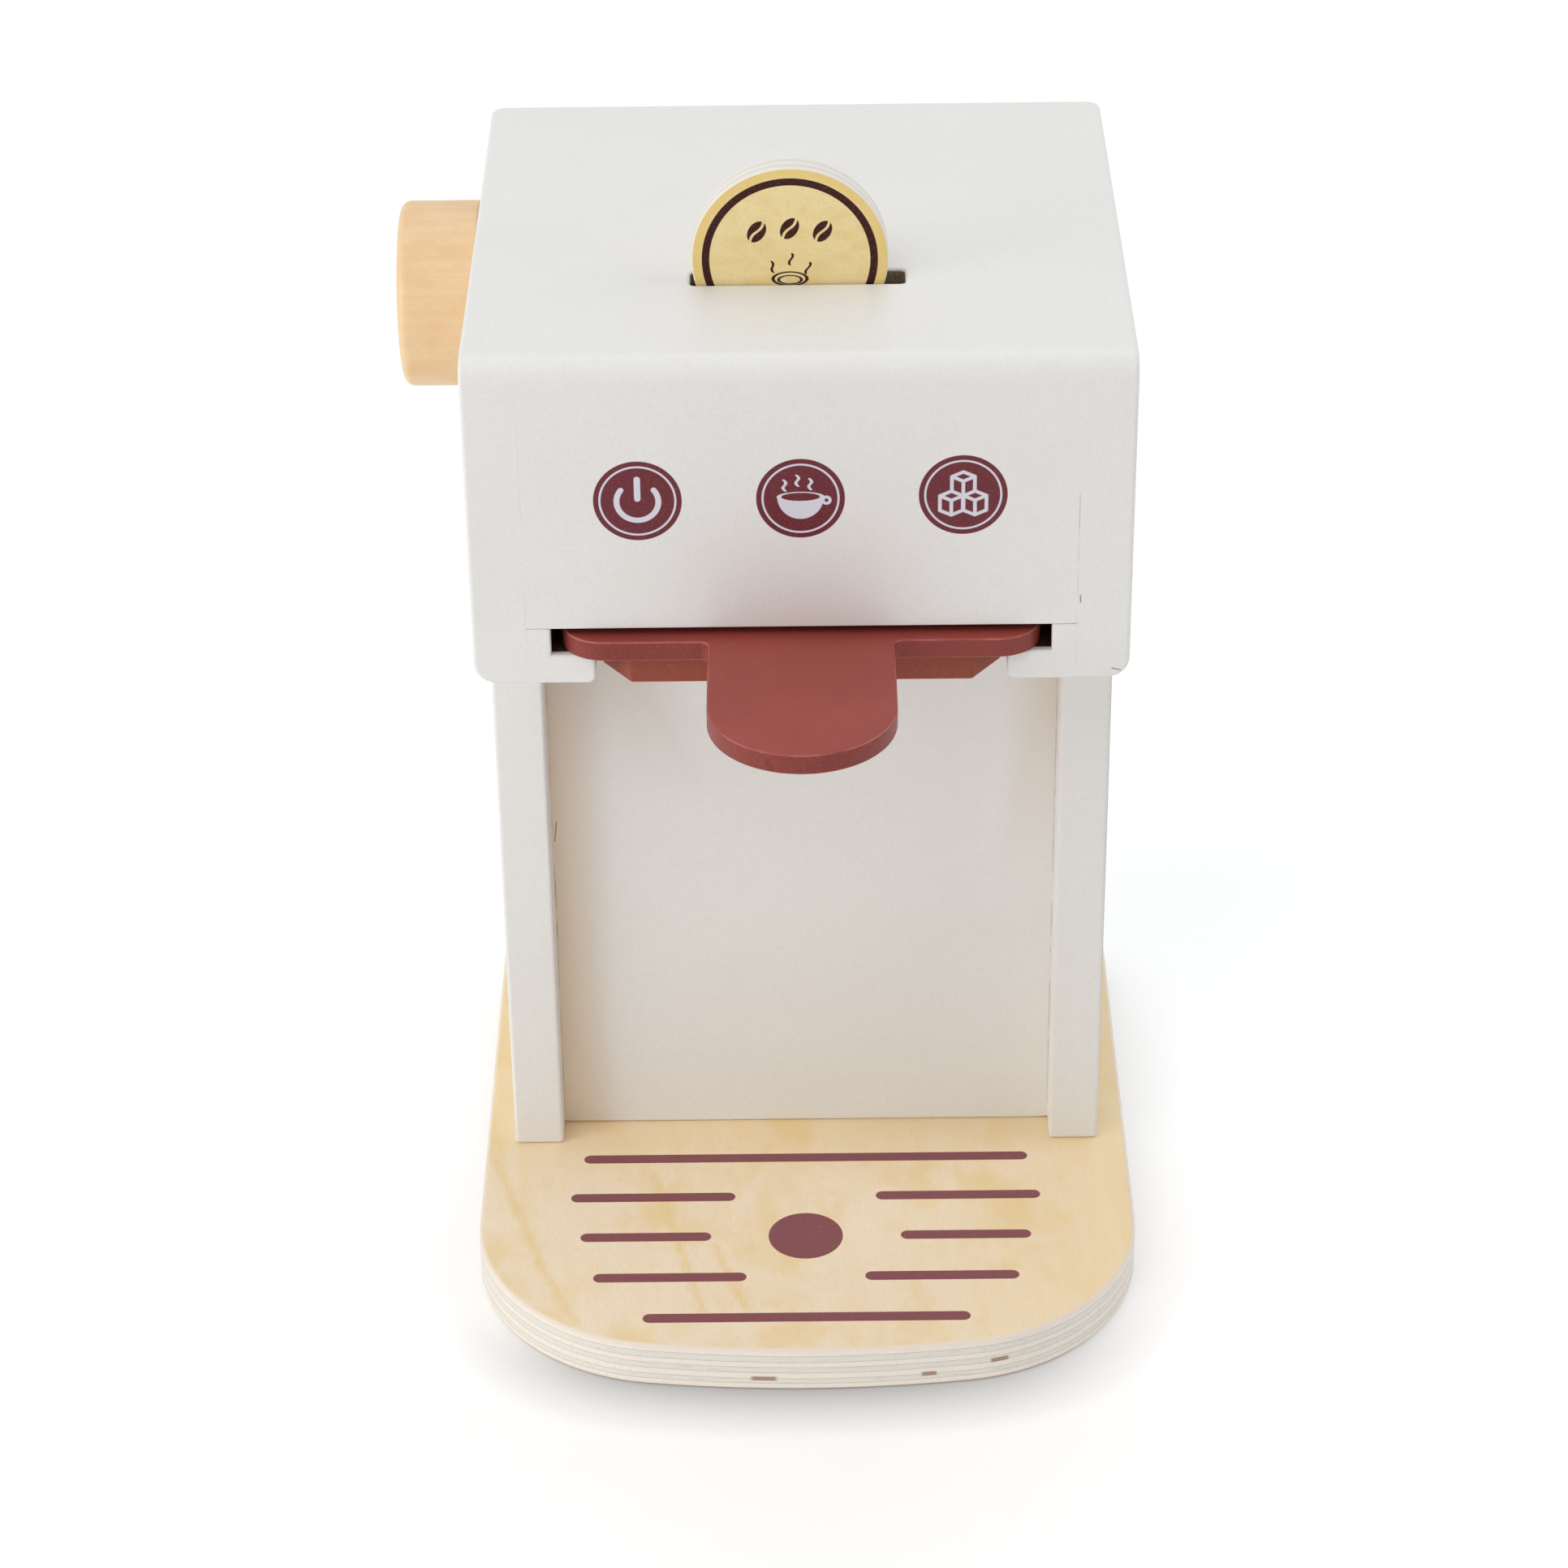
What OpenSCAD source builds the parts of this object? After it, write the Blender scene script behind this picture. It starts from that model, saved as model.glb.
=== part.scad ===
// Toy coffee maker: a painted board body on a plywood base, with a pull-out tray,
// a turning side knob and a wooden coin that stands in a slot in the top.
// +X is the viewer's right, the front faces -Y, +Z is up, and the origin lies in
// the middle of the base's underside. Millimetres.

/* [Base board] */
// Width of the base board
base_w = 133; // [126:1:150]
// Depth of the base board, front to rear
base_d = 146; // [140:1:170]
// Thickness of the base board
base_t = 10; // [8:0.5:14]
// Radius of the base's front corners
base_corner_r = 40; // [20:1:48]
// Radius of the gentle bow along the base's front edge
base_front_r = 235; // [180:5:400]
// Radius of the base's rear corners
base_rear_r = 5; // [2:0.5:10]

/* [Body] */
// Height of the whole toy without its coin
total_h = 209; // [195:1:230]
// Width over the two side boards
body_w = 121; // [112:1:124]
// Thickness of the side boards, the top and the front
board_t = 10; // [9:0.5:12]
// Height of the head, from its underside to the top
head_h = 65.5; // [60:0.5:75]
// How far the head's front stands behind the base's front
head_setback = 30; // [22:1:36]
// How far the legs' fronts stand behind the base's front
leg_setback = 68.5; // [60:0.5:75]
// Radius of the crown, where the top turns down into the front
crown_r = 4.5; // [3:0.5:10]
// Radius of the rounded outer edge under the head
cheek_r = 4; // [1:0.5:6]
// Radius of the side boards' upright rear edges
heel_r = 3; // [0.5:0.5:6]
// Radius left by the cutter where the head meets the leg
notch_r = 3; // [2:0.5:6]

/* [Inner panels] */
// Thickness of the cup bay's back and of the rear panel
panel_t = 8; // [7:0.5:10]
// How far the cup bay's back stands behind the legs' fronts
bay_recess = 7.3; // [4:0.1:12]

/* [Tray opening] */
// Width of the opening in the head's front
opening_w = 92; // [88:1:94]
// Height of the opening above the ledges
opening_h = 5.5; // [5.2:0.1:8]
// Thickness of the ledges that carry the tray
ledge_t = 6; // [5:0.5:8]
// Distance between the two ledges
ledge_gap = 76; // [70:1:80]
// Radius of the ledges' lower inner edges
ledge_nose_r = 1.5; // [0.5:0.5:3]

/* [Tray] */
// Thickness of the tray plate
plate_t = 4; // [3:0.5:4.5]
// Free space between the plate and each side of the opening
plate_side_gap = 1.8; // [0.5:0.1:3]
// How far the plate's front edge stands out of the head
plate_lip = 2.5; // [0:0.5:5]
// Radius of the plate's front corners
plate_corner_r = 8; // [3:0.5:12]
// Width of the pull tongue
tongue_w = 34.2; // [24:0.2:44]
// Length of the pull tongue, from the plate's front edge to its round tip
tongue_l = 40.5; // [30:0.5:50]
// Radius of the hollow corners where the tongue leaves the plate
tongue_root_r = 1.5; // [0.5:0.5:4]
// Free space between the guide block and each ledge
block_side_gap = 1; // [0.3:0.1:1.5]
// Width of the slanted front corners of the guide block
block_bevel_w = 5.5; // [2:0.5:8]
// Depth of the slanted front corners of the guide block
block_bevel_d = 7.5; // [3:0.5:10]
// Free space between the pushed-in tray and the bay's back
tray_stop_gap = 0.3; // [0.3:0.1:1]

/* [Coin] */
// Diameter of the coin
coin_d = 36; // [30:0.5:40]
// Thickness of the coin
coin_t = 5.4; // [4:0.1:6]
// How deep the coin stands in the slot
coin_sink = 13.4; // [11:0.1:15]
// Free space on each side of the coin, across the slot
slot_gap = 0.4; // [0.3:0.1:1]
// How much longer the slot is than the coin's diameter
slot_play = 3.4; // [2:0.1:6]
// Radius of the slot's corners
slot_corner_r = 1; // [0.5:0.5:2]
// Distance from the head's front to the middle of the slot
slot_setback = 35.2; // [28:0.1:40]
// How far the coin leans towards the knob side of the slot
coin_shift = 1.4; // [0:0.1:2]
// Gap under the coin's lowest point
coin_seat_gap = 0.3; // [0.3:0.1:0.6]
// Margin of the coin rest at the front and the ends of the slot
rest_margin = 8; // [5:0.5:12]
// Thickness of the coin rest under the top panel
rest_t = 10; // [9:0.5:14]

/* [Knob] */
// Diameter of the knob
knob_d = 36; // [28:0.5:42]
// Thickness of the knob
knob_t = 15.5; // [12:0.5:20]
// Radius of the knob's outer rim
knob_rim_r = 2; // [1:0.5:4]
// Distance from the rear to the knob's axis
knob_setback = 35; // [28:0.5:42]
// Distance from the top to the knob's axis
knob_drop = 24.2; // [22:0.1:30]
// Diameter of the knob's axle
axle_d = 10; // [8:0.5:12]
// Free space round the axle in the side board
axle_gap = 0.05; // [0.03:0.01:0.1]
// Depth of the axle's socket in the knob
socket_depth = 9; // [6:0.5:11]
// Thickness of the felt washer behind the knob
felt_t = 1; // [0.5:0.1:2]
// Diameter of the felt washer
felt_d = 26; // [20:0.5:28]
// Diameter of the wooden disc that holds the axle inside
disc_d = 22; // [18:0.5:28]
// Thickness of the wooden disc
disc_t = 6; // [5:0.5:8]
// End float of the axle, between the disc and the side board
end_float = 0.3; // [0.2:0.1:1]

/* [Fasteners] */
// Diameter of the screws' shanks
screw_d = 3.5; // [3:0.1:4]
// Diameter of the screws' countersunk heads
screw_head_d = 7; // [6:0.1:8]
// How deep the base screws' heads lie under the surface
screw_sink = 0.4; // [0.2:0.1:1]
// Length of the base screws
base_screw_l = 28; // [22:1:32]
// Length of the knob's screw
knob_screw_l = 16; // [12:1:20]
// Diameter of the glue dowels
dowel_d = 5; // [4:0.5:6]
// Length of the glue dowels
dowel_l = 20; // [16:1:26]
// How deep a dowel goes into a side board
dowel_bite = 7; // [5:0.5:8]
// Glue gap round dowels, screws and the glued axle end
glue_gap = 0.05; // [0.03:0.01:0.1]
// Distance of the outermost dowels and screws from the corners of their boards
fixing_inset = 14; // [10:1:20]

/* [Hidden] */

$fn = 64;
eps = 0.5; // how far a cutter reaches past the face that it opens

paint = [0.91, 0.90, 0.88];
plywood = [0.93, 0.84, 0.70];
red_paint = [0.62, 0.30, 0.29];
beech = [0.92, 0.79, 0.60];
coin_wood = [0.92, 0.82, 0.52];
felt_grey = [0.45, 0.42, 0.40];
steel = [0.75, 0.76, 0.78];

// Planes of the body
front_y = -base_d / 2;
rear_y = base_d / 2;
head_y = front_y + head_setback;
leg_y = front_y + leg_setback;
bay_y = leg_y + bay_recess;
head_z = total_h - head_h;
top_z = total_h - board_t;
side_x = body_w / 2;
inner_x = side_x - board_t;
crown = min(crown_r, board_t);

// Planes of the tray opening
ledge_z = head_z + ledge_t;
opening_z = ledge_z + opening_h;
opening_x = opening_w / 2;
ledge_x = ledge_gap / 2;
tray_rear_y = bay_y - tray_stop_gap;
plate_y = head_y - plate_lip;

// Slot, coin and knob
slot_y = head_y + slot_setback;
slot_w = coin_t + 2 * slot_gap;
slot_l = coin_d + slot_play;
coin_z = total_h - coin_sink + coin_d / 2;
knob_y = rear_y - knob_setback;
knob_z = total_h - knob_drop;
felt_x = side_x + felt_t;

// Screws and dowels
screw_head_h = (screw_head_d - screw_d) / 2;
screw_hole_d = screw_d + 2 * glue_gap;
recess_w = 1;
recess_depth = 1.4;
recess_l = 3.6;
base_screw_spots = [for (s = [-1, 1])
    each [[s * (side_x - board_t / 2), leg_y + fixing_inset],
          [s * (side_x - board_t / 2), rear_y - fixing_inset],
          [s * inner_x / 2, bay_y + panel_t / 2]]];
dowel_low = base_t + base_screw_l + dowel_d;
top_dowels = [[head_y + 2 * fixing_inset, total_h - board_t / 2],
              [rear_y - 2 * fixing_inset, total_h - board_t / 2]];
front_dowels = [[head_y + board_t / 2, opening_z + fixing_inset],
                [head_y + board_t / 2, top_z - fixing_inset]];
bay_dowels = [[bay_y + panel_t / 2, dowel_low],
              [bay_y + panel_t / 2, head_z - fixing_inset]];
rear_dowels = [[rear_y - panel_t / 2, dowel_low],
               [rear_y - panel_t / 2, top_z - fixing_inset]];

// ---- helpers -------------------------------------------------------------

// Extrudes a profile drawn in Y and Z along X, from x = from to x = to
module along_x(from, to)
    translate([from, 0, 0]) rotate([90, 0, 90]) linear_extrude(to - from) children();

// Extrudes a profile drawn in X and Z along Y, from y = from to y = to
module along_y(from, to)
    translate([0, to, 0]) rotate([90, 0, 0]) linear_extrude(to - from) children();

// Flat rectangle given by its lowest and highest corners
module span(lo, hi)
    translate(lo) square(hi - lo);

// Corner waste of a rounded edge: what is left of a square outside its circle.
// The corner lies at the origin, and the square spreads to -x and -y times dir.
module corner_waste(r, dir)
    difference() {
        translate([min(0, -dir[0] * r) - (dir[0] > 0 ? 0 : eps),
                   min(0, -dir[1] * r) - (dir[1] > 0 ? 0 : eps)])
            square(r + eps);
        translate([-dir[0] * r, -dir[1] * r]) circle(r);
    }

// Countersunk wood screw, pointing up, with its head's face at z = 0
module wood_screw(length)
    difference() {
        union() {
            cylinder(d1 = screw_head_d, d2 = screw_d, h = screw_head_h);
            cylinder(d = screw_d, h = length);
        }
        for (turn = [0, 90])
            rotate(turn) translate([-recess_l / 2, -recess_w / 2, -eps])
                cube([recess_l, recess_w, recess_depth + eps]);
    }

// Hole for such a screw: the shank's bore and the head's countersink
module screw_hole(length, head_d = screw_head_d) {
    cylinder(d = screw_hole_d, h = length + glue_gap);
    translate([0, 0, -eps]) cylinder(d = head_d + 2 * glue_gap, h = eps);
    cylinder(d1 = head_d + 2 * glue_gap, d2 = screw_hole_d, h = (head_d - screw_d) / 2);
}

// Places its children at a list of [y, z] spots on both joints with the side boards
module at_dowels(spots)
    for (spot = spots, s = [-1, 1])
        translate([s * (inner_x + dowel_bite - dowel_l / 2), spot[0], spot[1]])
            rotate([0, 90, 0]) children();

// Holes for the dowels at these spots
module dowel_holes(spots)
    at_dowels(spots)
        cylinder(d = dowel_d + 2 * glue_gap, h = dowel_l + 2 * glue_gap, center = true);

// Places its children at the knob's axis, with z running out of the left side
module at_knob(x)
    translate([-x, knob_y, knob_z]) rotate([0, -90, 0]) children();

// ---- base ----------------------------------------------------------------

// Plan of the base: bowed front, wide front corners, small rear corners
module base_plan() {
    corner_x = base_w / 2 - base_corner_r;
    reach = base_front_r - base_corner_r;
    corner_y = front_y + base_front_r - sqrt(reach * reach - corner_x * corner_x);
    join_x = corner_x * base_front_r / reach;
    difference() {
        span([-base_w / 2, corner_y], [base_w / 2, rear_y]);
        for (s = [-1, 1])
            translate([s * base_w / 2, rear_y]) corner_waste(base_rear_r, [s, 1]);
    }
    for (s = [-1, 1])
        translate([s * corner_x, corner_y]) circle(base_corner_r, $fn = 128);
    intersection() {
        translate([0, front_y + base_front_r]) circle(base_front_r, $fn = 256);
        span([-join_x, front_y - eps], [join_x, corner_y + eps]);
    }
}

module base_board()
    color(plywood) difference() {
        linear_extrude(base_t) base_plan();
        for (spot = base_screw_spots)
            translate([spot[0], spot[1], screw_sink]) screw_hole(base_screw_l);
    }

// ---- body ----------------------------------------------------------------

// Side view of a side board: a leg with the head reaching forward over the bay
module side_profile()
    difference() {
        union() {
            span([leg_y, base_t], [rear_y, total_h]);
            span([head_y, head_z], [rear_y, total_h]);
            translate([leg_y - notch_r, head_z - notch_r]) difference() {
                square(notch_r + eps);
                circle(notch_r);
            }
        }
        translate([head_y, total_h]) corner_waste(crown, [-1, 1]);
    }

// Board without its axle bore; s is -1 on the left and 1 on the right
module side_board(s)
    difference() {
        along_x(s > 0 ? inner_x : -side_x, s > 0 ? side_x : -inner_x) side_profile();
        along_y(head_y - eps, leg_y)
            translate([s * side_x, head_z]) corner_waste(cheek_r, [s, -1]);
        translate([s * side_x, rear_y, base_t - eps]) linear_extrude(total_h - base_t + 2 * eps)
            corner_waste(heel_r, [s, 1]);
        dowel_holes(concat(top_dowels, front_dowels, bay_dowels, rear_dowels));
        for (spot = base_screw_spots)
            if (abs(spot[0]) > inner_x && spot[0] * s > 0)
                translate([spot[0], spot[1], screw_sink]) screw_hole(base_screw_l);
    }

module left_side_board()
    color(paint) difference() {
        side_board(-1);
        at_knob(inner_x - eps) cylinder(d = axle_d + 2 * axle_gap, h = board_t + 2 * eps);
    }

module right_side_board()
    color(paint) side_board(1);

// Plan of the coin's slot, which the coin rest repeats as a groove
module slot_plan()
    translate([-slot_l / 2, slot_y - slot_w / 2])
        difference() {
            square([slot_l, slot_w]);
            for (x = [0, 1], y = [0, 1])
                translate([x * slot_l, y * slot_w])
                    corner_waste(slot_corner_r, [2 * x - 1, 2 * y - 1]);
        }

module top_panel()
    color(paint) difference() {
        along_x(-inner_x, inner_x) difference() {
            span([head_y, top_z], [rear_y, total_h]);
            translate([head_y, total_h]) corner_waste(crown, [-1, 1]);
        }
        translate([0, 0, top_z - eps]) linear_extrude(board_t + 2 * eps) slot_plan();
        dowel_holes(top_dowels);
    }

module front_panel()
    color(paint) difference() {
        along_x(-inner_x, inner_x) span([head_y, opening_z], [head_y + board_t, top_z]);
        dowel_holes(front_dowels);
    }

module bay_back_panel()
    color(paint) difference() {
        along_x(-inner_x, inner_x) span([bay_y, base_t], [bay_y + panel_t, top_z]);
        dowel_holes(bay_dowels);
        for (spot = base_screw_spots)
            if (abs(spot[0]) < inner_x)
                translate([spot[0], spot[1], screw_sink]) screw_hole(base_screw_l);
    }

module rear_panel()
    color(paint) difference() {
        along_x(-inner_x, inner_x) span([rear_y - panel_t, base_t], [rear_y, top_z]);
        dowel_holes(rear_dowels);
    }

// Rail in the right-hand side of the head: a web with the tray's ledge on it
module tray_rail()
    along_y(head_y, bay_y) difference() {
        union() {
            span([opening_x, head_z], [inner_x, opening_z]);
            span([ledge_x, head_z], [inner_x, ledge_z]);
        }
        translate([ledge_x, head_z]) corner_waste(ledge_nose_r, [-1, -1]);
    }

module left_tray_rail()
    color(paint) mirror([1, 0, 0]) tray_rail();

module right_tray_rail()
    color(paint) tray_rail();

// Block under the slot, against the bay's back, with a groove in which the coin stands
module coin_rest()
    color(plywood) difference() {
        translate([0, 0, top_z - rest_t]) linear_extrude(rest_t)
            span([-slot_l / 2 - rest_margin, slot_y - slot_w / 2 - rest_margin],
                 [slot_l / 2 + rest_margin, bay_y]);
        translate([0, 0, total_h - coin_sink - coin_seat_gap])
            linear_extrude(board_t + rest_t) slot_plan();
    }

// ---- fasteners -----------------------------------------------------------

module base_screws()
    color(steel) for (spot = base_screw_spots)
        translate([spot[0], spot[1], screw_sink]) wood_screw(base_screw_l);

module glue_dowels()
    color(beech) at_dowels(concat(top_dowels, front_dowels, bay_dowels, rear_dowels))
        cylinder(d = dowel_d, h = dowel_l, center = true);

// ---- tray ----------------------------------------------------------------

// Plan of the tray plate: round front corners and a tongue with a half-round tip
module plate_plan() {
    plate_x = opening_x - plate_side_gap;
    tip_r = tongue_w / 2;
    difference() {
        span([-plate_x, plate_y], [plate_x, tray_rear_y]);
        for (s = [-1, 1])
            translate([s * plate_x, plate_y]) corner_waste(plate_corner_r, [s, -1]);
    }
    span([-tip_r, plate_y - tongue_l + tip_r], [tip_r, plate_y + eps]);
    translate([0, plate_y - tongue_l + tip_r]) circle(tip_r);
    for (s = [-1, 1])
        translate([s * (tip_r + tongue_root_r / 2), plate_y - tongue_root_r / 2])
            difference() {
                square(tongue_root_r, center = true);
                translate([s, -1] * tongue_root_r / 2) circle(tongue_root_r);
            }
}

module tray_plate()
    color(red_paint) translate([0, 0, ledge_z]) linear_extrude(plate_t) plate_plan();

module tray_guide_block() {
    block_x = ledge_x - block_side_gap;
    color(red_paint) translate([0, 0, head_z]) linear_extrude(ledge_t)
        polygon([[-block_x, tray_rear_y], [-block_x, head_y + block_bevel_d],
                 [-block_x + block_bevel_w, head_y], [block_x - block_bevel_w, head_y],
                 [block_x, head_y + block_bevel_d], [block_x, tray_rear_y]]);
}

// ---- knob ----------------------------------------------------------------

// The knob turns on a round axle: it is glued to one end, and a disc is screwed to the other
module knob()
    color(beech) at_knob(felt_x) difference() {
        rotate_extrude($fn = 96) difference() {
            square([knob_d / 2, knob_t]);
            translate([knob_d / 2, knob_t]) corner_waste(knob_rim_r, [1, 1]);
        }
        translate([0, 0, -eps]) cylinder(d = axle_d + 2 * glue_gap, h = socket_depth + eps);
    }

module knob_axle()
    color(beech) at_knob(inner_x - end_float) difference() {
        cylinder(d = axle_d, h = end_float + board_t + felt_t + socket_depth - glue_gap);
        translate([0, 0, -disc_t]) screw_hole(knob_screw_l);
    }

module knob_felt_washer()
    color(felt_grey) at_knob(side_x) difference() {
        cylinder(d = felt_d, h = felt_t);
        translate([0, 0, -eps]) cylinder(d = axle_d + 2 * end_float, h = felt_t + 2 * eps);
    }

module knob_retaining_disc()
    color(beech) at_knob(inner_x - end_float - disc_t) difference() {
        cylinder(d = disc_d, h = disc_t);
        screw_hole(knob_screw_l);
    }

module knob_screw()
    color(steel) at_knob(inner_x - end_float - disc_t) wood_screw(knob_screw_l);

// ---- coin ----------------------------------------------------------------

module coffee_coin()
    color(coin_wood) translate([-coin_shift, slot_y + coin_t / 2, coin_z])
        rotate([90, 0, 0]) cylinder(d = coin_d, h = coin_t, $fn = 96);

base_board();
left_side_board();
right_side_board();
top_panel();
front_panel();
bay_back_panel();
rear_panel();
left_tray_rail();
right_tray_rail();
coin_rest();
base_screws();
glue_dowels();
tray_plate();
tray_guide_block();
knob();
knob_axle();
knob_felt_washer();
knob_retaining_disc();
knob_screw();
coffee_coin();
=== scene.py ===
"""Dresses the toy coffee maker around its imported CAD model.

The toy is a white painted body on a plywood base, with a red tray on rails, a beech knob at its
side and a plywood play coin in the slot on top. Meshes are in metres, and patterns inside the
finishes are in millimetres, both in the frame of the CAD model.
"""

from __future__ import annotations

import logging
import math
from collections.abc import Callable, Iterator, Sequence
from dataclasses import dataclass, field, replace
from enum import Enum, StrEnum
from functools import reduce

import bmesh
import bpy
from mathutils import Matrix, Vector
from mathutils.bvhtree import BVHTree

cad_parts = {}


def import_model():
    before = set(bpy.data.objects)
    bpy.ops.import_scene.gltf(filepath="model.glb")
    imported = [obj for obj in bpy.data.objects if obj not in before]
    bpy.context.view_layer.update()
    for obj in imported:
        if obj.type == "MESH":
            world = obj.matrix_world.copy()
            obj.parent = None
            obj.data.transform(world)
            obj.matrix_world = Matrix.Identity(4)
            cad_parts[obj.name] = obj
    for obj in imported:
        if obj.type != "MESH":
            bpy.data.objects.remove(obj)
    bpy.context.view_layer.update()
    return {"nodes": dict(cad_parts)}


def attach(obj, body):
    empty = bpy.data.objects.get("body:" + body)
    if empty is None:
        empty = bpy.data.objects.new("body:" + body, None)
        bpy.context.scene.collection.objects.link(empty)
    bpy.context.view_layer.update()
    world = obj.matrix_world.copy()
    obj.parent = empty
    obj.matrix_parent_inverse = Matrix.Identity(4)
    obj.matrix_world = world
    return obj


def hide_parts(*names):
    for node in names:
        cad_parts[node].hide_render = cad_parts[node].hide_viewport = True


log = logging.getLogger("coffee_maker")

Colour = tuple[float, float, float, float]
Pair = tuple[float, float]
Triple = tuple[float, float, float]
Line = tuple[Pair, Pair]
Box = tuple[Triple, Triple]

MM = 0.001
NOWHERE: Box = ((0.0, 0.0, 0.0), (0.0, 0.0, 0.0))
BLACK: Colour = (0.0, 0.0, 0.0, 1.0)
WHITE: Colour = (1.0, 1.0, 1.0, 1.0)
NOISE_MEAN = 0.5
FACES_UP: Pair = (0.6, 0.9)
FACES_FRONT: Pair = (-0.6, -0.9)


class Body(StrEnum):
    """The bodies that pieces move with."""

    FIXED = "body"
    TRAY = "tray"
    KNOB = "knob"
    COIN = "coin"


class Slot(StrEnum):
    """The record's material slots for the sanded pieces."""

    BASE_PLYWOOD = "base_plywood"
    WHITE_PAINT = "white_paint"
    BARE_PLYWOOD = "bare_plywood"
    RED_PAINT = "red_paint"
    RED_PAINT_DULL = "red_paint_dull"
    KNOB_BEECH = "knob_beech"
    COIN_PLYWOOD = "coin_plywood"


Maths = Enum("Maths", "ADD SUBTRACT MULTIPLY POWER MAXIMUM MINIMUM ABSOLUTE SINE SQRT")


def tint(red: float, green: float, blue: float) -> Colour:
    """Turns a display colour, from 0 to 255, into the linear colour that a shader takes."""
    shown = (channel / 255.0 for channel in (red, green, blue))
    linear = [c / 12.92 if c <= 0.04045 else ((c + 0.055) / 1.055) ** 2.4 for c in shown]
    return (linear[0], linear[1], linear[2], 1.0)


def node_maker(operation: Maths, number_first: bool = False) -> Callable[..., Signal]:
    """Makes a method that adds a Math node to a signal, if asked with the other value first."""

    def add_node(signal: Signal, *others: Signal | float) -> Signal:
        """Adds the node and hands back its result."""
        values = (*others, signal) if number_first else (signal, *others)
        settings = {"operation": operation.name}
        return signal.recipe.node("ShaderNodeMath", settings, dict(enumerate(values)))

    return add_node


class Signal:
    """One output of a shader node, whose Python operators add Math nodes.

    For masks, "|" joins two of them and "&" keeps what both share.
    """

    def __init__(self, recipe: Recipe, socket: bpy.types.NodeSocket) -> None:
        """Keeps the recipe that the socket belongs to."""
        self.recipe = recipe
        self.socket = socket

    __add__ = node_maker(Maths.ADD)
    __radd__ = node_maker(Maths.ADD, number_first=True)
    __sub__ = node_maker(Maths.SUBTRACT)
    __rsub__ = node_maker(Maths.SUBTRACT, number_first=True)
    __mul__ = node_maker(Maths.MULTIPLY)
    __rmul__ = node_maker(Maths.MULTIPLY, number_first=True)
    __pow__ = node_maker(Maths.POWER)
    __or__ = node_maker(Maths.MAXIMUM)
    __and__ = node_maker(Maths.MINIMUM)
    __abs__ = node_maker(Maths.ABSOLUTE)
    sine = node_maker(Maths.SINE)
    root = node_maker(Maths.SQRT)

    def clamp(self) -> Signal:
        """Holds the value between 0 and 1."""
        return (self | 0.0) & 1.0

    def rise(self, start: float, end: float) -> Signal:
        """Goes smoothly from 0 at start to 1 at end, which may lie below start."""
        turned = end < start
        low, high = (end, start) if turned else (start, end)
        step = self.recipe.node(
            "ShaderNodeMapRange",
            {"interpolation_type": "SMOOTHSTEP"},
            {"Value": self, "From Min": low, "From Max": high},
        )
        return 1.0 - step if turned else step


Layers = Iterator[tuple[Signal, Colour]]


@dataclass(frozen=True)
class Spot:
    """Where a point of a surface lies, in millimetres, and which way it faces."""

    recipe: Recipe
    x: Signal
    y: Signal
    z: Signal
    face_x: Signal
    face_y: Signal
    face_z: Signal


@dataclass
class Coat:
    """What a finish gives its shader at each point."""

    colour: Signal
    roughness: Signal | float
    relief: Signal
    constants: dict[str, float] = field(default_factory=dict)


@dataclass(frozen=True)
class Sheen:
    """A finish's roughness and how far it swings, its relief's depth in millimetres and its gloss."""

    rough: float
    swing: float
    depth: float
    specular: float = 0.5

    def vary(self, *noises: Signal) -> Signal | float:
        """Lets the roughness swing with noises."""
        return sum(((noise - NOISE_MEAN) * self.swing for noise in noises), self.rough)


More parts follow.
